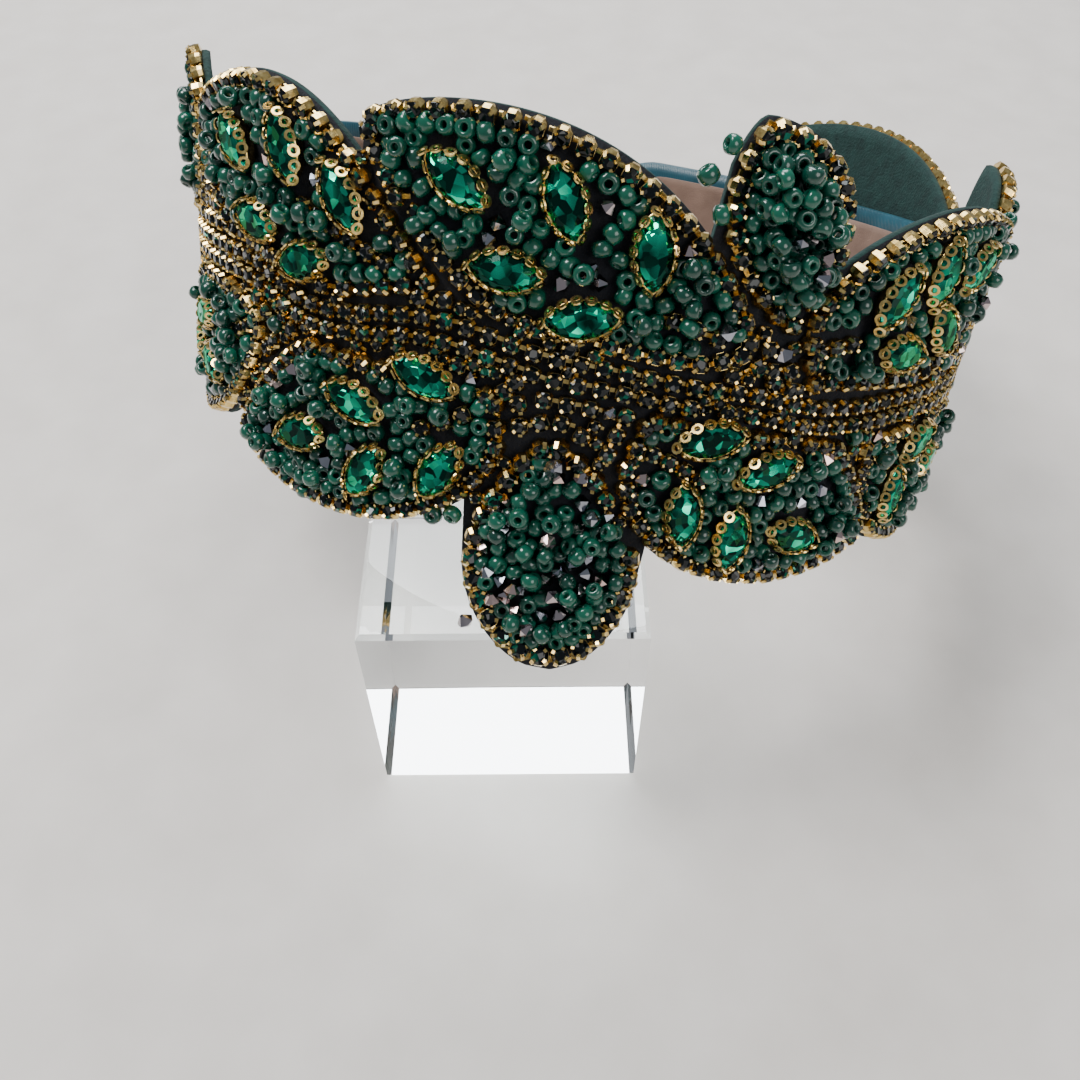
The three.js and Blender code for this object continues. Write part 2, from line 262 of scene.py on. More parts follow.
LEAVES = {
    "upper_left": Leaf((-51, 7.5), (-110, 25), 13.6, 13, 0.55, 0.95,
                       [(-51, 7.5), (-60, 9.6), (-70, 13.4), (-77, 15.6)],
                       [(-92.7, 22.5, -42), (-78.8, 23.4, -66), (-66.8, 17.9, -55),
                        (-86.4, 11.2, -12), (-74.6, 7, 15)]),
    "centre_upper": Leaf((-2, 5), (-63, 29), 12.4, 13.2, 0.5, 0.72,
                         [(-2, 5), (-10, 7), (-16.5, 8.6)],
                         [(-48.2, 23.3, -32), (-32.7, 22.7, -66), (-39.9, 12, -1),
                          (-28.2, 6.9, 12), (-19.7, 17.6, -81)]),
    "upper_right": Leaf((9, 5), (65, 23.5), 12.4, 12.8, 0.4, 0.5,
                        [(9, 5), (14, 6.3), (18.5, 7)],
                        [(22.8, 14.6, 61), (33, 18.6, 85), (45.4, 19.6, 40), (39.6, 9.2, -47),
                         (28.5, 5.6, -3)]),
    "lower_left": Leaf((-40, -7), (-94, -26), 16.4, 13, 0.38, 0.5,
                       [(-40, -7), (-44, -10.6), (-48, -13), (-53, -15.4)],
                       [(-63.4, -12.8, -17), (-51, -6, -15), (-75.3, -21.3, 15), (-61, -24, 58),
                        (-47.4, -20.6, 60)]),
    "lower_right": Leaf((-15, -7), (35, -28), 17.8, 12.4, 0.36, 0.5,
                        [(-15.3, -12), (-9.5, -14.2), (-3.5, -16.8)],
                        [(-5, -9.2, 13), (6.4, -14, 20), (-6.8, -22.2, -80), (3, -26.2, -87),
                         (15.7, -26, -14)]),
    "far_left": Leaf((-88, -6), (-144, -24), 12.5, 12, 0.48, 0.75,
                     [(-88, -6), (-94, -8), (-100, -11)],
                     [(-112, -9.4, 14), (-108.5, -17.8, -20), (-126, -17.4, -15)]),
    "far_right": Leaf((29.5, -10.4), (82, -24), 15, 13, 0.42, 0.85,
                      [(29.5, -10.4), (33, -12.4), (36.5, -14.6)],
                      [(46.5, -11.6, 24), (42.4, -21.2, -80), (60, -17.6, 10)]),
    "back_left": Leaf((-135, 7.6), (-186, 26), 14, 12, 0.42, 0.5,
                      [(-135, 7.6), (-141, 9.6), (-146, 12)],
                      [(-153, 18, -35), (-167, 17.4, -20)]),
    "back_right": Leaf((96, 6), (171, 34.3), 15.6, 14, 0.5, 0.5,
                       [(96, 6), (103, 9.6), (108, 13)],
                       [(118, 22, 50), (122, 11, 12), (139, 26, 30)]),
    "back_left_lower": Leaf((-146, -7), (-186, -19), 9, 9, 0.45, 0.5,
                            [(-146, -7), (-151, -8.6), (-156, -10.4)], [(-168, -13.6, -18)]),
    "back_right_lower": Leaf((88, -7), (138, -23), 9.5, 10, 0.45, 0.5,
                             [(88, -7), (95, -9.4), (103, -12)], [(119, -17, -18)]),
    "pendant": Leaf((-30, -13), (-24.6, -50.4), 14, 13.8, 0.56, 0.6, [], [], 0.5),
    "bud_top": Leaf((5.5, 9.5), (-6.5, 35.5), 9.2, 7.4, 0.55, 0.5, [], []),
    "bud_left": Leaf((-121, 9), (-127, 34), 9, 9, 0.5, 0.5, [], []),
    "bud_right": Leaf((82.5, 9), (95, 34.5), 9, 9, 0.5, 0.5, [], []),
}
BACK_LEAVES = ("back_left", "back_right", "bud_left", "bud_right", "back_left_lower",
               "back_right_lower")

block_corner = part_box("display_block")[0] / MM
HOOP = (
    Matrix.Translation(block_corner + HOOP_FROM_BLOCK)
    @ Matrix.Rotation(TIP_BACK, 4, "X")
    @ Matrix.Rotation(TIP_RIGHT, 4, "Y")
    @ Matrix.Rotation(TURN, 4, "Z")
)


# Layout


def place(along, up, out=0.0):
    """A point of the layout in the model's frame, in metres."""
    angle = along / LAYOUT_RADIUS
    curl = CURL_OUT * (max(CURL_START - up, 0) / CURL_SPAN) ** 2
    radius = FELT_RADIUS + FLARE * up + curl + out
    return HOOP @ Vector((radius * math.sin(angle), -radius * math.cos(angle), up)) * MM


def seat(along, up, out=0.0, turn=0.0):
    """The frame of a small thing on the felt: X along the band, Y up it, Z out, then turned."""
    across = (place(along + ASIDE, up, out) - place(along - ASIDE, up, out)).normalized()
    upward = (place(along, up + ASIDE, out) - place(along, up - ASIDE, out)).normalized()
    outward = across.cross(upward).normalized()
    upward = outward.cross(across)
    basis = Matrix((across, upward, outward)).transposed().to_4x4()
    turned = Matrix.Rotation(turn, 4, "Z") @ Matrix.Scale(MM, 4)
    return Matrix.Translation(place(along, up, out)) @ basis @ turned


def blend(a, b, share):
    return a + (b - a) * share


def smoothstep(share):
    return share * share * (3 - 2 * share)


def vine_middle(along):
    for (x0, y0), (x1, y1) in zip(VINE_LINE, VINE_LINE[1:]):
        if along <= x1:
            return blend(y0, y1, smoothstep(min(max((along - x0) / (x1 - x0), 0), 1)))
    return VINE_LINE[-1][1]


def shore(along, above):
    """How far from the middle line a chain beside the vine starts."""
    return above * vine_middle(along) + VINE_HALF_WIDTH + SHORE


def leaf_sides(name, grow=0.0):
    """The outer and inner side of a leaf, both from root to tip, grown outwards."""
    leaf = LEAVES[name]
    root = Vector(leaf.root)
    spine = Vector(leaf.tip) - root
    length = spine.length + 2 * grow
    spine.normalize()
    above = math.copysign(1, root.y)
    outward = Vector((-spine.y, spine.x))
    if outward.y * above < 0:
        outward.negate()
    power = math.log(0.5) / math.log(leaf.belly)
    sides = []
    for sign, width in ((1, leaf.outer), (-1, leaf.inner)):
        side = []
        for i in range(LEAF_POINTS + 1):
            share = i / LEAF_POINTS
            arch = max(math.sin(math.pi * share ** power), 0)
            swell = arch ** blend(leaf.fullness, leaf.blunt, share)
            point = root + spine * (share * length - grow)
            point += outward * (sign * max(width + grow, 0) * swell)
            point.y = above * max(above * point.y, shore(point.x, above) - grow)
            side.append((point.x, point.y))
        sides.append(side)
    return sides


def outline(name, grow=0.0):
    """A leaf's outline, all the way round."""
    outer, inner = leaf_sides(name, grow)
    return outer + inner[-2:0:-1]


def inside(polygon, along, up):
    """Whether a place is in a polygon, by how often a line from it crosses the sides."""
    hit = False
    for (x0, y0), (x1, y1) in zip(polygon, polygon[1:] + polygon[:1]):
        if (y0 > up) != (y1 > up) and along < x0 + (up - y0) * (x1 - x0) / (y1 - y0):
            hit = not hit
    return hit


def band_half_width(along, inset=0.0):
    """Half the width of a strip that lies an inset inside the band, with its round tips."""
    turned = (1 - math.cos(along / LAYOUT_RADIUS)) / 2
    full = blend(FRONT_HALF_WIDTH, BACK_HALF_WIDTH, turned)
    short = max(TIP_ROUND - (HALF_ARC - inset - abs(along)), 0)
    return full - inset - TIP_ROUND + math.sqrt(max(TIP_ROUND ** 2 - short ** 2, 0))


def march(points, pitch):
    """Evenly spaced places along a line, half a step from its ends: (along, up, direction)."""
    lengths = [0.0]
    for (x0, y0), (x1, y1) in zip(points, points[1:]):
        lengths.append(lengths[-1] + math.hypot(x1 - x0, y1 - y0))
    count = max(1, round(lengths[-1] / pitch))
    step = lengths[-1] / count
    places, i = [], 0
    for n in range(count):
        target = (n + 0.5) * step
        while i < len(points) - 2 and lengths[i + 1] < target:
            i += 1
        share = (target - lengths[i]) / max(lengths[i + 1] - lengths[i], LEAST_LENGTH)
        (x0, y0), (x1, y1) = points[i], points[i + 1]
        places.append((blend(x0, x1, share), blend(y0, y1, share), math.atan2(y1 - y0, x1 - x0)))
    return places


class Ground:
    """Which places on the felt are already covered, as circles."""

    CELL = 4.0

    def __init__(self):
        self.cells = {}

    def near(self, along, up):
        i, j = int(along // self.CELL), int(up // self.CELL)
        for di in (-1, 0, 1):
            for dj in (-1, 0, 1):
                yield from self.cells.get((i + di, j + dj), ())

    def free(self, along, up, radius):
        return all(math.hypot(x - along, y - up) >= r + radius for x, y, r in self.near(along, up))

    def take(self, along, up, radius):
        key = (int(along // self.CELL), int(up // self.CELL))
        self.cells.setdefault(key, []).append((along, up, radius))


# Small bodies


class Body(NamedTuple):
    """Points and faces, with a material slot and a smoothness for each face."""

    points: list
    faces: list
    slots: list
    smooths: list


def lathe(profile, sides, smooth=True):
    """A closed outline of (radius, height) points turned about Z."""
    points = []
    for i in range(sides):
        angle = 2 * math.pi * i / sides
        points += [(r * math.cos(angle), r * math.sin(angle), z) for r, z in profile]
    n = len(profile)
    faces = [
        (i * n + j, ((i + 1) % sides) * n + j, ((i + 1) % sides) * n + (j + 1) % n,
         i * n + (j + 1) % n)
        for i in range(sides) for j in range(n)
    ]
    return Body(points, faces, [0] * len(faces), [smooth] * len(faces))


def stack(rings, slot=0, smooth=False, twisted=()):
    """A body through rings of equal count. Twisted rings lie half a step round, in triangles."""
    count = len(rings[0])
    points = [p for ring in rings for p in ring]
    faces = [tuple(range(count))[::-1]]
    for r in range(len(rings) - 1):
        a, b = r * count, (r + 1) * count
        for i in range(count):
            j = (i + 1) % count
            if r in twisted:
                faces += [(a + i, a + j, b + i), (b + i, a + j, b + j)]
            else:
                faces.append((a + i, a + j, b + j, b + i))
    faces.append(tuple(range((len(rings) - 1) * count, len(rings) * count)))
    return Body(points, faces, [slot] * len(faces), [smooth] * len(faces))


def joined(*bodies):
    whole = Body([], [], [], [])
    for body in bodies:
        start = len(whole.points)
        whole.points.extend(body.points)
        whole.faces.extend(tuple(i + start for i in face) for face in body.faces)
        whole.slots.extend(body.slots)
        whole.smooths.extend(body.smooths)
    return whole


def moved(body, matrix):
    return body._replace(points=[tuple(matrix @ Vector(p)) for p in body.points])


def polygon_ring(radius, sides, height, phase=0.5):
    """A level regular polygon, turned by a phase counted in its sides."""
    angles = [2 * math.pi * (i + phase) / sides for i in range(sides)]
    return [(radius * math.cos(angle), radius * math.sin(angle), height) for angle in angles]


def box_body(x, y, z, top=1.0):
    """A box by its half length, half width and height, its top a share of its base's size."""
    base = [(-x, -y), (x, -y), (x, y), (-x, y)]
    return stack([[(px, py, 0) for px, py in base],
                  [(px * top, py * top, z) for px, py in base]])


class Pile:
    """Many small bodies gathered into one mesh, each with its own tint from 0 to 1."""

    def __init__(self):
        self.points, self.faces, self.slots, self.smooths, self.tints = [], [], [], [], []

    def add(self, body, matrix, tint=0.5):
        start = len(self.points)
        self.points += [matrix @ Vector(p) for p in body.points]
        self.faces += [tuple(i + start for i in face) for face in body.faces]
        self.slots += body.slots
        self.smooths += body.smooths
        self.tints += [tint] * len(body.points)

    def build(self, name, materials, slot, *replaced):
        mesh = bpy.data.meshes.new(name)
        mesh.from_pydata(self.points, [], self.faces)
        for look in materials:
            mesh.materials.append(look)
        mesh.polygons.foreach_set("material_index", self.slots)
        mesh.polygons.foreach_set("use_smooth", self.smooths)
        tint = mesh.attributes.new("tint", "FLOAT", "POINT")
        tint.data.foreach_set("value", self.tints)
        mesh.update()
        piece = bpy.data.objects.new(name, mesh)
        bpy.context.scene.collection.objects.link(piece)
        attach(piece, "root")
        if replaced:
            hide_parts(*replaced)
        return piece


# Materials


class Look:
    """A procedural material round one Principled shader."""

    GLINT_SCALE = 230           # of the patches of painted glint in which a stone's cuts light up together

    def __init__(self, name, colour, roughness, metallic=0.0, **sockets):
        self.material = bpy.data.materials.new(name)
        self.material.use_nodes = True
        self.nodes = self.material.node_tree.nodes
        self.shader = self.nodes["Principled BSDF"]
        self.shader.inputs["Base Color"].default_value = (*colour, 1)
        self.shader.inputs["Roughness"].default_value = roughness
        self.shader.inputs["Metallic"].default_value = metallic
        for socket, value in sockets.items():
            self.shader.inputs[socket.replace("_", " ")].default_value = value

    def node(self, kind, **values):
        made = self.nodes.new(kind)
        for key, value in values.items():
            if key in made.inputs:
                made.inputs[key].default_value = value
            else:
                setattr(made, key, value)
        return made

    def link(self, source, target):
        self.material.node_tree.links.new(source, target)

    def place(self):
        return self.node("ShaderNodeTexCoord").outputs["Object"]

    def noise(self, scale, detail=3.0):
        texture = self.node("ShaderNodeTexNoise", Scale=scale, Detail=detail)
        self.link(self.place(), texture.inputs["Vector"])
        return texture.outputs["Fac"]

    def ramp(self, source, low, high, start=0.3, end=0.7):
        ramp = self.node("ShaderNodeValToRGB")
        ramp.color_ramp.elements[0].position = start
        ramp.color_ramp.elements[1].position = end
        ramp.color_ramp.elements[0].color = (*low, 1)
        ramp.color_ramp.elements[1].color = (*high, 1)
        self.link(source, ramp.inputs["Fac"])
        return ramp.outputs["Color"]

    def colour(self, source):
        self.link(source, self.shader.inputs["Base Color"])

    def roughness(self, source, low, high):
        spread = self.node("ShaderNodeMapRange")
        spread.inputs["To Min"].default_value = low
        spread.inputs["To Max"].default_value = high
        self.link(source, spread.inputs["Value"])
        self.link(spread.outputs["Result"], self.shader.inputs["Roughness"])

    def bump(self, source, distance, strength=1.0):
        bump = self.node("ShaderNodeBump", Strength=strength, Distance=distance)
        self.link(source, bump.inputs["Height"])
        self.link(bump.outputs["Normal"], self.shader.inputs["Normal"])

    def tint(self):
        return self.node("ShaderNodeAttribute", attribute_name="tint").outputs["Fac"]

    def facets(self, scale, tilt, dark, painted_glint_colour, start, end):
        """Cells whose normals lean at random, as the cuts seen deep in a foiled stone, with
        painted glints: each cell's colour runs from dark to a painted glint colour.
        """
        cells = self.node("ShaderNodeTexVoronoi", Scale=scale)
        self.link(self.place(), cells.inputs["Vector"])
        lean = self.node("ShaderNodeVectorMath", operation="MULTIPLY_ADD")
        lean.inputs[1].default_value = (tilt, tilt, tilt)
        lean.inputs[2].default_value = (-tilt / 2, -tilt / 2, -tilt / 2)
        self.link(cells.outputs["Color"], lean.inputs[0])
        total = self.node("ShaderNodeVectorMath", operation="ADD")
        self.link(self.node("ShaderNodeNewGeometry").outputs["Normal"], total.inputs[0])
        self.link(lean.outputs["Vector"], total.inputs[1])
        unit = self.node("ShaderNodeVectorMath", operation="NORMALIZE")
        self.link(total.outputs["Vector"], unit.inputs[0])
        self.link(unit.outputs["Vector"], self.shader.inputs["Normal"])
        shade = self.node("ShaderNodeSeparateColor")
        self.link(cells.outputs["Color"], shade.inputs["Color"])
        glint = self.node("ShaderNodeMath", operation="MULTIPLY")
        self.link(shade.outputs["Green"], glint.inputs[0])
        self.link(self.noise(self.GLINT_SCALE, 1), glint.inputs[1])
        # Painted glints: cells in the brighter patches take the glint colour, and the rest stay
        # dark.
        self.colour(self.ramp(glint.outputs["Value"], dark, painted_glint_colour, start, end))


def gold_look():
    look = Look("gold", (0.74, 0.55, 0.25), 0.2, 1.0)
    look.colour(look.ramp(look.noise(900), (0.45, 0.28, 0.07), (0.96, 0.73, 0.3)))
    look.roughness(look.noise(2600, 4), low=0.12, high=0.3)
    return look.material


def bead_look():
    look = Look("bead_glass", (0.006, 0.1, 0.06), 0.25, Coat_Weight=0.4, Coat_Roughness=0.12)
    look.colour(look.ramp(look.tint(), (0.0, 0.034, 0.022), (0.001, 0.095, 0.056), 0.0, 1.0))
    look.roughness(look.noise(1500), low=0.14, high=0.28)
    return look.material


def crystal_look():
    look = Look("grey_crystal", (0.5, 0.47, 0.48), 0.1, 1.0)
    look.colour(look.ramp(look.tint(), (0.34, 0.35, 0.4), (0.68, 0.5, 0.46), 0.35, 0.8))
    look.roughness(look.noise(1200), low=0.06, high=0.2)
    return look.material


def chain_stone_look():
    look = Look("dark_chain_stone", (0.002, 0.006, 0.007), 0.06, 0.35)
    # The bright green is painted glint on the near-black stones, kept to a few cells.
    look.facets(scale=1200, tilt=0.9, dark=(0.001, 0.003, 0.004), painted_glint_colour=(0.002, 0.16, 0.1),
                start=0.42, end=0.6)
    return look.material


def marquise_look():
    look = Look("emerald", (0.0, 0.2, 0.14), 0.06, 0.9, Coat_Weight=0.12, Coat_Roughness=0.02)
    look.shader.inputs["Specular Tint"].default_value = (0.05, 0.85, 0.5, 1)
    # The bright green is painted glint of the lit cuts; the dark green is the stone's deep body
    # colour.
    look.facets(scale=720, tilt=0.9, dark=(0.0, 0.03, 0.02), painted_glint_colour=(0.0, 0.78, 0.46),
                start=0.2, end=0.62)
    return look.material


def felt_look(name, low, high):
    look = Look(name, high, 0.95, Sheen_Weight=0.2, Sheen_Roughness=0.6)
    look.shader.inputs["Sheen Tint"].default_value = (*high, 1)
    look.colour(look.ramp(look.noise(420, 5), low, high))
    look.bump(look.noise(1800, 6), distance=0.0004, strength=0.8)
    return look.material


def satin_look():
    look = Look("satin", (0.015, 0.08, 0.11), 0.34, Sheen_Weight=0.3, Sheen_Roughness=0.3)
    look.shader.inputs["Sheen Tint"].default_value = (0.2, 0.6, 0.75, 1)
    look.colour(look.ramp(look.noise(90, 4), (0.006, 0.034, 0.048), (0.014, 0.085, 0.12)))
    threads = look.node("ShaderNodeTexWave", Scale=700, Distortion=1.5, Detail=2)
    look.link(look.place(), threads.inputs["Vector"])
    look.bump(threads.outputs["Fac"], distance=0.00006, strength=0.5)
    return look.material


def suede_look():
    look = Look("suede", (0.24, 0.14, 0.1), 0.9, Sheen_Weight=0.4, Sheen_Roughness=0.5)
    look.shader.inputs["Sheen Tint"].default_value = (0.6, 0.45, 0.38, 1)
    look.colour(look.ramp(look.noise(160, 6), (0.13, 0.078, 0.056), (0.2, 0.125, 0.092)))
    look.bump(look.noise(2500, 5), distance=0.0002, strength=0.6)
    return look.material


def clear_look():
    look = Look("clear_block", (0.97, 0.985, 0.99), 0.0, IOR=1.49)
    look.shader.inputs["Transmission Weight"].default_value = 1.0
    look.roughness(look.noise(60), low=0.0, high=0.02)
    let_lamps_through(look)
    return look.material


def let_lamps_through(look):
    """Lets the lamps light what lies under the block, as they do through real acrylic."""
    output = look.nodes["Material Output"]
    mix = look.node("ShaderNodeMixShader")
    pane = look.node("ShaderNodeBsdfTransparent", Color=(0.9, 0.93, 0.93, 1))
    look.link(look.node("ShaderNodeLightPath").outputs["Is Shadow Ray"], mix.inputs[0])
    look.link(look.shader.outputs["BSDF"], mix.inputs[1])
    look.link(pane.outputs["BSDF"], mix.inputs[2])
    look.link(mix.outputs["Shader"], output.inputs["Surface"])


GOLD = gold_look()
BEADS = bead_look()
CRYSTAL = crystal_look()
CHAIN_STONE = chain_stone_look()
EMERALD = marquise_look()
FELT_FACE = felt_look("dark_ground", (0.004, 0.005, 0.008), (0.009, 0.011, 0.017))
FELT_BACK = felt_look("green_felt", (0.003, 0.018, 0.016), (0.007, 0.036, 0.031))
SATIN = satin_look()
SUEDE = suede_look()


# Band, lining and felt


def stations(inset, step):
    """Places along a strip, from tip to tip."""
    end = HALF_ARC - inset
    count = round(2 * end / step)
    return [-end + 2 * end * i / count for i in range(count + 1)]


def wall_ring(along, inset, inner, outer, edge):
    """A strip's cross-section: two flat faces between rounded edges."""
    straight = band_half_width(along, inset) - edge
    middle, half_thick = (inner + outer) / 2, (outer - inner) / 2
    ring = []
    for i in range(WALL_POINTS):
        angle = 2 * math.pi * i / WALL_POINTS
        c, s = math.cos(angle), math.sin(angle)
        if abs(s) > FACE_START:
            up = straight * c / math.sqrt(1 - FACE_START ** 2)
        else:
            up = math.copysign(straight, c) + edge * c
        thick = math.copysign(min(abs(s) / FACE_START, 1) ** EDGE_POWER, s)
        ring.append(place(along, up, middle + half_thick * thick))
    return ring


def wall(name, inset, inner, outer, edge, look, slot, replaced):
    """A strip round the head."""
    rings = [wall_ring(along, inset, inner, outer, edge) for along in stations(inset, WALL_STEP)]
    pile = Pile()
    pile.add(stack(rings, smooth=True), Matrix.Identity(4))
    return pile.build(name, [look], slot, replaced)


def felt_edges():
    """The outline of every leaf, grown by its felt margin."""
    return [outline(name, BACK_FELT_MARGIN if name in BACK_LEAVES else FELT_MARGIN)
            for name in LEAVES]


FELT_OUTLINES = felt_edges()


def felt_edge(along, above):
    """How far up, or down, the felt reaches: to the band's edge, or a leaf's beyond it."""
    edge = band_half_width(along, FELT_INSET)
    for points in FELT_OUTLINES:
        for (x0, y0), (x1, y1) in zip(points, points[1:] + points[:1]):
            if (x0 - along) * (x1 - along) <= 0 and x0 != x1:
                edge = max(edge, above * (y0 + (y1 - y0) * (along - x0) / (x1 - x0)))
    return above * edge


def felt():
    """The felt that everything is sewn on, with a dark face and a green back."""
    rings = []
    for along in stations(FELT_INSET, FELT_STEP):
        top, bottom = felt_edge(along, 1), felt_edge(along, -1)
        ups = [blend(top, bottom, i / FELT_ROWS) for i in range(FELT_ROWS + 1)]
        ring = [place(along, up, 0) for up in ups]
        ring += [place(along, bottom - FELT_BULGE, -FELT_THICK / 2)]
        ring += [place(along, up, -FELT_THICK) for up in reversed(ups)]
        ring += [place(along, top + FELT_BULGE, -FELT_THICK / 2)]
        rings.append(ring)
    body = stack(rings, smooth=True)
    count = len(rings[0])
    for i in range(len(body.faces) - 2):  # the first and last faces close the ends
        body.slots[i + 1] = 0 if i % count < FELT_ROWS else 1
    pile = Pile()
    pile.add(body, Matrix.Identity(4))
    return pile.build("felt_leaves", [FELT_FACE, FELT_BACK], "felt", "felt_backing")


# Cup chain


def cup_body(width, rim):
    """A gold cup with four prongs over a dark cut stone that fills it, and the link onwards."""
    half = width / 2
    cup = stack([
        polygon_ring(half * CUP_FOOT, CUP_SIDES, CUP_FOOT_HEIGHT),
        polygon_ring(half, CUP_SIDES, CUP_SHOULDER * rim),
        polygon_ring(half, CUP_SIDES, rim),
    ])
    stone = stack([polygon_ring(half * share, CUP_SIDES, rim + rise * width)
                   for share, rise in CUT_RINGS], 1)
    prong = box_body(PRONG * width, PRONG * width, PRONG_LENGTH * width, PRONG_TOP)
    prongs = []
    for k in range(4):
        stand = Matrix.Rotation(math.pi * (k + 0.5) / 2, 4, "Z")
        stand = stand @ Matrix.Translation((half, 0, rim - PRONG_SUNK))
        prongs.append(moved(prong, stand @ Matrix.Rotation(-PRONG_LEAN, 4, "Y")))
    link = moved(box_body(*(size * width for size in LINK)),
                 Matrix.Translation((half * LINK_AT, 0, LINK_HEIGHT)))
    return joined(cup, stone, *prongs, link)


SMALL_CUP = cup_body(CUP, CUP_RIM)
EDGE_CUP = cup_body(CUP, EDGE_RIM)
LARGE_CUP = cup_body(BIG_CUP, BIG_RIM)
TINY_CUP = cup_body(TINY, TINY_RIM)


def chain_row(pile, ground, points, rng, pitch=CUP_PITCH, body=SMALL_CUP, lean=0.0):
    """Cups along a line, leaving out those that would sit on something."""
    for along, up, direction in march(points, pitch):
        if ground.free(along, up, CUP_NEEDS * pitch):
            ground.take(along, up, CUP_TAKES * pitch)
            turn = direction + rng.uniform(-CUP_TURN, CUP_TURN)
            stand = seat(along, up, rng.uniform(0, CUP_LIFT), turn)
            pile.add(body, stand @ Matrix.Rotation(lean, 4, "X"), rng.random())


def leaf_rows(name, grow):
    """A leaf's two sides where they keep off the vine, each with the side its outside is on."""
    leaf = LEAVES[name]
    above = math.copysign(1, leaf.root[1])
    leftwards = above if leaf.tip[0] > leaf.root[0] else -above
    for side, hand in zip(leaf_sides(name, grow), (1, -1)):
        run = [p for p in side if above * p[1] > shore(p[0], above) + OFF_SHORE - grow] or side
        yield run, hand * leftwards


def zigzag_wire(pile, points, outside):
    """The gold wire of the large cups, out round each and in between it and the next."""
    cups = march(points, BIG_PITCH)
    corners = []
    for (x0, y0, direction), (x1, y1, _) in zip(cups, cups[1:]):
        reach = WIRE_OUT * outside
        corners.append((x0 - reach * math.sin(direction), y0 + reach * math.cos(direction)))
        corners.append(((x0 + x1) / 2, (y0 + y1) / 2))
    for (x0, y0), (x1, y1) in zip(corners, corners[1:]):
        bar = box_body(math.hypot(x1 - x0, y1 - y0) / 2, WIRE / 2, WIRE)
        turn = math.atan2(y1 - y0, x1 - x0)
        pile.add(bar, seat((x0 + x1) / 2, (y0 + y1) / 2, WIRE_HEIGHT, turn))


def vine_rows():
    """The lines of the vine's rows, which close up towards its ends."""
    for row in VINE_ROWS:
        line = []
        for i in range(VINE_STEPS + 1):
            along = -VINE_END + 2 * VINE_END * i / VINE_STEPS
            spread = min((VINE_END - abs(along)) / VINE_TAPER, 1) ** 0.5
            line.append((along, vine_middle(along) + row * blend(VINE_END_SHARE, 1, spread)))
        yield line


# Marquise stones


def marquise_ring(height, size, phase=0.0):
    """A level outline with pointed ends."""
    ring = []
    for i in range(STONE_POINTS):
        angle = 2 * math.pi * (i + phase) / STONE_POINTS
        c, s = math.cos(angle), math.sin(angle)
        ring.append((c * STONE_LENGTH / 2 * size,
                     math.copysign(abs(s) ** STONE_FULLNESS, s) * STONE_WIDTH / 2 * size, height))
    return ring


def marquise_body():
    """A cut stone in a gold setting with a lace of upright rings that lean over it."""
    setting = stack([marquise_ring(*row) for row in SETTING_RINGS], smooth=True)
    stone = stack([marquise_ring(*row) for row in STONE_RINGS], 1, twisted=(STAR_ROW,))
    loop = lathe([(LOOP_HOLE, -LOOP_THICK), (LOOP_OUTER, -LOOP_THICK),
                  (LOOP_OUTER, LOOP_THICK), (LOOP_HOLE, LOOP_THICK)], LOOP_SIDES, smooth=False)
    path = [(x, y) for x, y, _ in marquise_ring(0, LOOP_AT)]
    loops = []
    for x, y, direction in march(path + path[:1], LOOP_PITCH):
        stand = Matrix.Translation((x, y, LOOP_HEIGHT)) @ Matrix.Rotation(direction, 4, "Z")
        stand = stand @ Matrix.Rotation(math.pi / 2 - LOOP_LEAN, 4, "X")
        loops.append(moved(loop, stand))
    return joined(setting, stone, *loops)


MARQUISE = marquise_body()


# Beads and crystals


def bead_body():
    """A round bead with a hole: its outline in shares of its radius and half height."""
    r, h = BEAD / 2, BEAD_HALF_HEIGHT
    return lathe([(BEAD_HOLE, -0.8 * h), (0.6 * r, -h), (0.92 * r, -0.66 * h), (r, 0),
                  (0.92 * r, 0.66 * h), (0.6 * r, h), (BEAD_HOLE, 0.8 * h)], BEAD_SIDES)


def bicone_body():
    """A crystal of two cones, base to base."""
    return stack([polygon_ring(CRYSTAL_POINT, CRYSTAL_SIDES, -CRYSTAL_HALF_HEIGHT, 0),
                  polygon_ring(CRYSTAL_RADIUS, CRYSTAL_SIDES, 0, 0),
                  polygon_ring(CRYSTAL_POINT, CRYSTAL_SIDES, CRYSTAL_HALF_HEIGHT, 0)])


BEAD_BODY = bead_body()
BICONE_BODY = bicone_body()


def loose(along, up, out, rng, upright=HOLES_SHOWN):
    """A bead's frame: now and then with its hole outwards, mostly lying any way round."""
    stand = seat(along, up, out, rng.uniform(0, 2 * math.pi))
    lean = rng.gauss(0, BEAD_NOD) if rng.random() < upright else rng.uniform(*BEAD_LEAN)
    scale = rng.uniform(*BEAD_SCALE)
    return stand @ Matrix.Rotation(lean, 4, "X") @ Matrix.Scale(scale, 4)


def rows_within(name):
    """Places for beads in rows that follow a leaf's edge, from the edge inwards."""
    inset = FIRST_ROW
    while inset < max(LEAVES[name].outer, LEAVES[name].inner):
        for side in leaf_sides(name, -inset):
            for along, up, _ in march(side, BEAD_PITCH):
                yield along, up
        inset += BEAD_ROW_PITCH


def anywhere(bounds, tries, rng):
    """Random places in a rectangle."""
    (x0, x1), (y0, y1) = bounds
    for _ in range(tries):
        yield rng.uniform(x0, x1), rng.uniform(y0, y1)


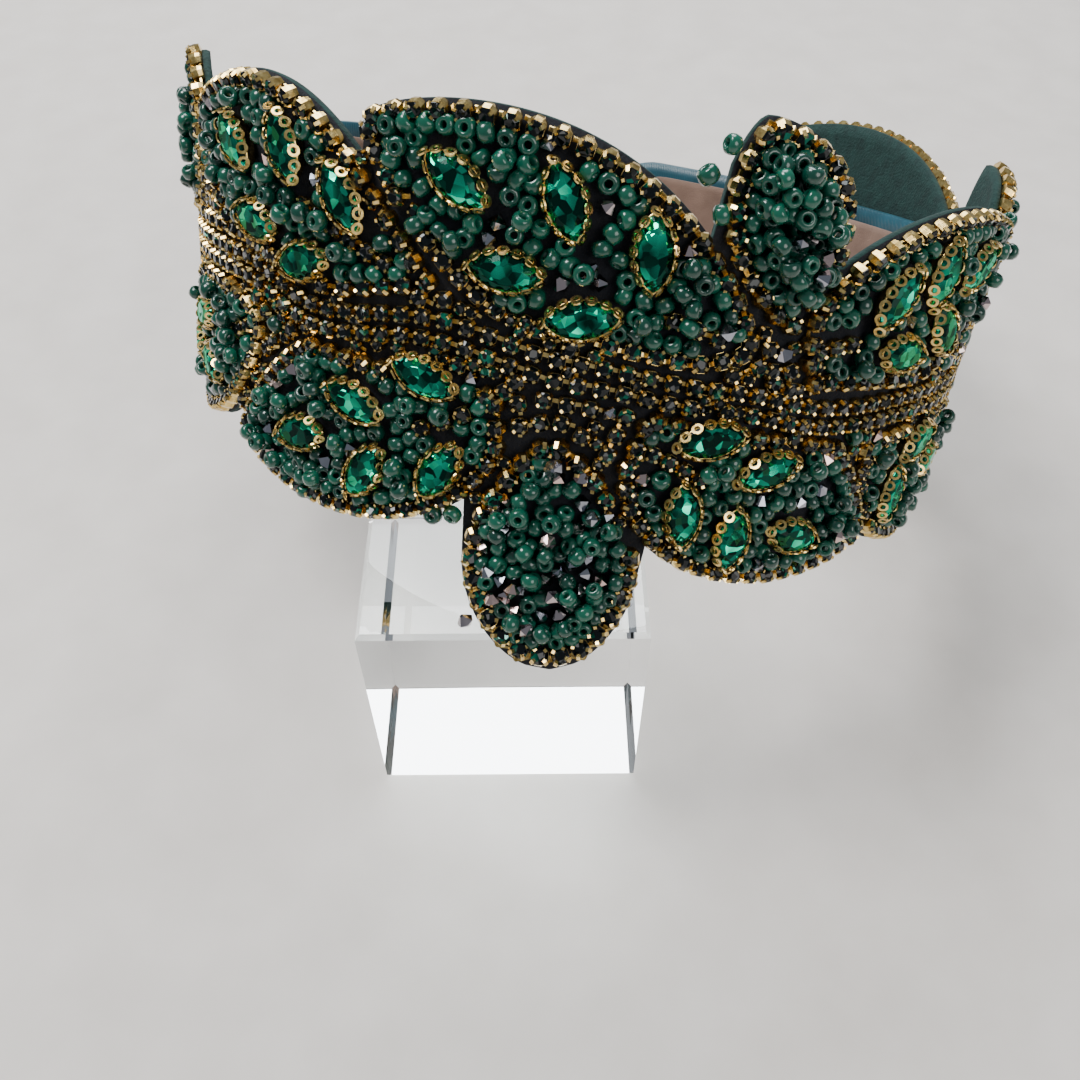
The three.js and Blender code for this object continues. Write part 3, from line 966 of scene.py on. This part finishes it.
class Strewing:
    """Puts beads, with a share of crystals, on free places of a region."""

    def __init__(self, crystals, region, rng, share):
        self.beads = Pile()
        self.crystals = crystals
        self.region = region
        self.rng = rng
        self.share = share

    def lay(self, ground, places, closeness, out):
        """Closeness is the radius of free felt that a bead needs, by its size."""
        for along, up in places:
            if not ground.free(along, up, closeness * BEAD) or not self.region(along, up):
                continue
            ground.take(along, up, BEAD_ROOM)
            height = out + self.rng.uniform(*BEAD_LIFT)
            if self.rng.random() < self.share:
                stand = loose(along, up, height, self.rng, CRYSTALS_UPRIGHT)
                self.crystals.add(BICONE_BODY, stand, self.rng.random())
            else:
                self.beads.add(BEAD_BODY, loose(along, up, height, self.rng), self.rng.random())


def bounds_of(polygon):
    xs, ys = [p[0] for p in polygon], [p[1] for p in polygon]
    return (min(xs), max(xs)), (min(ys), max(ys))


# The pieces


def set_stones(ground, rng):
    for name, leaf in LEAVES.items():
        for n, (along, up, degrees) in enumerate(leaf.stones, 1):
            turn = math.radians(degrees)
            pile = Pile()
            pile.add(MARQUISE, seat(along, up, 0, turn), rng.random())
            pile.build(f"marquise_{name}_{n}", [GOLD, EMERALD], "stone", f"stone_{name}_{n}")
            cover_stone(ground, along, up, turn)


def cover_stone(ground, along, up, turn, extra=0.0):
    for offset, radius in STONE_COVER:
        ground.take(along + offset * math.cos(turn), up + offset * math.sin(turn), radius + extra)


def sew_vine(ground, rng):
    vine = Pile()
    for line in vine_rows():
        chain_row(vine, ground, line, rng)
    vine.build("vine_cup_chain", [GOLD, CHAIN_STONE], "chain", "vine_chain")


def sew_leaf_chains(ground, rng):
    for name, leaf in LEAVES.items():
        chain = Pile()
        if name == "pendant":
            for run, outside in leaf_rows(name, BIG_OUT):
                chain_row(chain, ground, run, rng, BIG_PITCH, LARGE_CUP, EDGE_LEAN * outside)
                zigzag_wire(chain, run[len(run) // 2:], outside)
        else:
            for run, outside in leaf_rows(name, EDGE_OUT):
                chain_row(chain, ground, run, rng, CUP_PITCH, EDGE_CUP, EDGE_LEAN * outside)
        if leaf.vein:
            chain_row(chain, ground, leaf.vein, rng)
        chain.build(f"cup_chain_{name}", [GOLD, CHAIN_STONE], "chain", f"chain_{name}")


def sew_beads(ground, rng):
    polygons = {name: outline(name, -LEAF_INSET) for name in LEAVES}
    crystals = Pile()
    fill_between(ground, crystals, list(polygons.values()), rng)
    for name, polygon in polygons.items():
        share = PENDANT_CRYSTAL_SHARE if name == "pendant" else CRYSTAL_SHARE
        strewing = Strewing(crystals, partial(inside, polygon), rng, share)
        strewing.lay(ground, rows_within(name), ROW_CLOSENESS, BEAD_HEIGHT)
        strewing.lay(ground, anywhere(bounds_of(polygon), LEAF_TRIES, rng), LEAF_CLOSENESS,
                     BEAD_HEIGHT - BEAD_SUNK)
        pile_up(strewing, name, rng)
        strewing.beads.build(f"beads_{name}", [BEADS], "stone")
    crystals.add(BICONE_BODY, loose(*LOOSE_CRYSTAL, BEAD_HEIGHT, rng), 0.5)
    crystals.build("grey_crystals", [CRYSTAL], "stone")


def pile_up(strewing, name, rng):
    """More layers of beads over the first: a few on most leaves, a heap on the top bud."""
    for layer, tries in enumerate(HEAP_TRIES.get(name, LAYER_TRIES), 1):
        ground = Ground()
        for along, up, degrees in LEAVES[name].stones:
            cover_stone(ground, along, up, math.radians(degrees), STONE_CLEARANCE)
        polygon = outline(name, -LEAF_INSET - LAYER_INSET * layer)
        strewing.region = partial(inside, polygon)
        strewing.lay(ground, anywhere(bounds_of(polygon), tries, rng), LOOSE_CLOSENESS,
                     BEAD_HEIGHT + LAYER * layer)


def fill_between(ground, crystals, polygons, rng):
    """Beads, crystals and odd lengths of cup chain in the gaps between the leaves."""
    region = partial(in_gap, margin=GAP_MARGIN, polygons=polygons)
    strewing = Strewing(crystals, region, rng, GAP_CRYSTAL_SHARE)
    strewing.lay(ground, anywhere(GAP_BOUNDS, GAP_TRIES, rng), LOOSE_CLOSENESS, BEAD_HEIGHT)
    for along, up in LOOSE_BEADS:
        strewing.beads.add(BEAD_BODY, loose(along, up, BEAD_HEIGHT, rng), rng.random())
    strewing.beads.build("beads_between", [BEADS], "stone")
    fill = Pile()
    for line in filler_lines():
        for run in open_runs(line, polygons):
            chain_row(fill, ground, run, rng)
    for body, room in ((SMALL_CUP, FILLER_ROOM), (TINY_CUP, TINY_ROOM)):
        for along, up in anywhere(GAP_BOUNDS, FILLER_TRIES, rng):
            if ground.free(along, up, room) and region(along, up):
                ground.take(along, up, room)
                turn = rng.uniform(-FILLER_TURN, FILLER_TURN)
                fill.add(body, seat(along, up, FILLER_LIFT, turn), rng.random())
    fill.build("filler_cup_chain", [GOLD, CHAIN_STONE], "chain")


def filler_lines():
    """Rows of cup chain in the gaps: outside the leaves, beside the vine, round the pendant."""
    for name in LEAVES:
        for side in leaf_sides(name, EDGE_OUT + ROW_PITCH):
            yield side[:LEAF_LINE_POINTS]
    for above in (1, -1):
        for row, reach in enumerate(SHORE_REACHES):
            yield [(along, above * (shore(along, above) + row * ROW_PITCH))
                   for along in range(-reach, reach, SHORE_STEP)]
    for grow in PENDANT_LINES:
        for side in leaf_sides("pendant", grow):
            yield side[:PENDANT_LINE_POINTS]


def in_gap(along, up, margin, polygons):
    """Whether a place is on the felt, a margin or more from its edge, and in no leaf."""
    if not felt_edge(along, -1) + margin < up < felt_edge(along, 1) - margin:
        return False
    return not any(inside(polygon, along, up) for polygon in polygons)


def open_runs(line, polygons):
    """The stretches of a line that lie in the gaps."""
    for is_open, run in groupby(line, lambda point: in_gap(*point, FILLER_MARGIN, polygons)):
        run = list(run)
        if is_open and len(run) >= SHORTEST_RUN:
            yield run


def dress():
    rng = Random(SEED)
    ground = Ground()
    wall("satin_band", 0, BAND_INNER, BAND_OUTER, BAND_EDGE, SATIN, "satin", "band")
    wall("suede_lining", LINING_INSET, LINING_INNER, LINING_OUTER, LINING_EDGE, SUEDE, "suede",
         "lining")
    felt()
    set_stones(ground, rng)
    sew_vine(ground, rng)
    sew_leaf_chains(ground, rng)
    sew_beads(ground, rng)


dress()
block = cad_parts["display_block"]
block.data.materials.clear()
block.data.materials.append(clear_look())


# Stage, lights and camera

CAMERA_FROM_BLOCK = Vector((31.4, -102.8, 201.1))
CAMERA_PITCH = math.radians(50.66)
CAMERA_ROLL = math.radians(-0.45)
CAMERA_LENS = 36.13
FLOOR_GAP = 0.2  # air under the block, so that its underside mirrors as real acrylic does


def floor():
    mesh = bpy.data.meshes.new("floor")
    side, low = 3.0, -FLOOR_GAP * MM
    corners = [(-side, -side, low), (side, -side, low), (side, side, low), (-side, side, low)]
    mesh.from_pydata(corners, [], [(0, 1, 2, 3)])
    look = Look("pale_floor", (0.62, 0.58, 0.54), 0.7)
    look.colour(look.ramp(look.noise(60, 5), (0.6, 0.56, 0.52), (0.66, 0.62, 0.58)))
    mesh.materials.append(look.material)
    obj = bpy.data.objects.new("floor", mesh)
    bpy.context.scene.collection.objects.link(obj)
    obj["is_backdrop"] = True


def area_light(name, where, aim, size, power, colour=(1, 1, 1)):
    data = bpy.data.lights.new(name, "AREA")
    data.shape = "DISK"
    data.size = size
    data.energy = power
    data.color = colour
    obj = bpy.data.objects.new(name, data)
    obj.location = where
    obj.rotation_euler = (Vector(aim) - Vector(where)).to_track_quat("-Z", "Y").to_euler()
    bpy.context.scene.collection.objects.link(obj)


def studio():
    world = bpy.data.worlds.new("studio")
    bpy.context.scene.world = world
    world.use_nodes = True
    world.node_tree.nodes["Background"].inputs["Color"].default_value = (0.85, 0.92, 1.0, 1)
    world.node_tree.nodes["Background"].inputs["Strength"].default_value = 0.3
    area_light("sky", (0.0, 1.15, 1.4), (0, 0, 0.04), 1.3, 42, (0.94, 0.97, 1))
    area_light("key", (-0.45, 0.1, 0.9), (0, 0, 0.05), 0.4, 9)
    area_light("fill", (0.7, -0.9, 0.8), (0, 0, 0.05), 0.9, 8, (1, 0.97, 0.93))


def camera():
    data = bpy.data.cameras.new("camera")
    data.lens = CAMERA_LENS
    data.clip_start = 0.01
    obj = bpy.data.objects.new("camera", data)
    obj.matrix_world = (
        Matrix.Translation((block_corner + CAMERA_FROM_BLOCK) * MM)
        @ Matrix.Rotation(math.pi / 2 - CAMERA_PITCH, 4, "X")
        @ Matrix.Rotation(CAMERA_ROLL, 4, "Z")
    )
    bpy.context.scene.collection.objects.link(obj)
    bpy.context.scene.camera = obj


floor()
studio()
camera()

bpy.context.view_layer.update()
boxes = {"cad": solid_bounds, "visual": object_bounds()}
{key: [list(corner) for corner in box] for key, box in boxes.items()}
